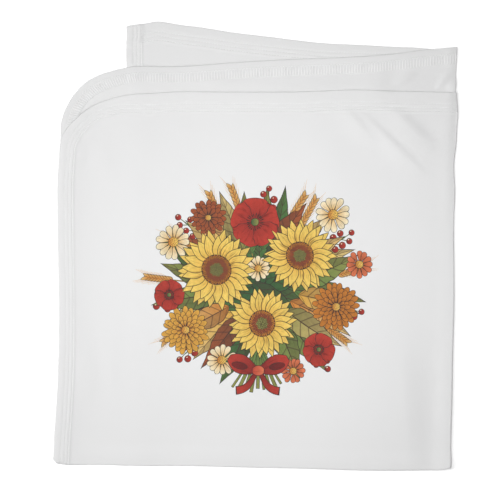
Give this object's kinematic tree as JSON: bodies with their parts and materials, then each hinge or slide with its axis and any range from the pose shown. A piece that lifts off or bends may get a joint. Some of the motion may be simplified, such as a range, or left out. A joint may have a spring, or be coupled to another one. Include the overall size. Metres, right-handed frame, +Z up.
{
  "type": "folded baby blanket",
  "caption": "Soft knitted cotton baby blanket with stitched turned hems and rounded corners, folded in four and lying flat.",
  "frame": {"origin": "on the surface the folded blanket lies on, under the middle of its bounding box", "axes": "+Z up out of the front layer, +X towards the side fold, +Y away from the foot fold towards the hemmed top edges"},
  "size_m": [0.418, 0.4612, 0.0093],
  "materials": {
    "cotton_knit": "soft matte knit"
  },
  "bodies": {
    "root": {"knit_panel": "cotton_knit", "hem_rounded_end": "cotton_knit", "hem_front_side": "cotton_knit", "hem_under_side": "cotton_knit", "hem_square_end": "cotton_knit"}
  },
  "joints": []
}
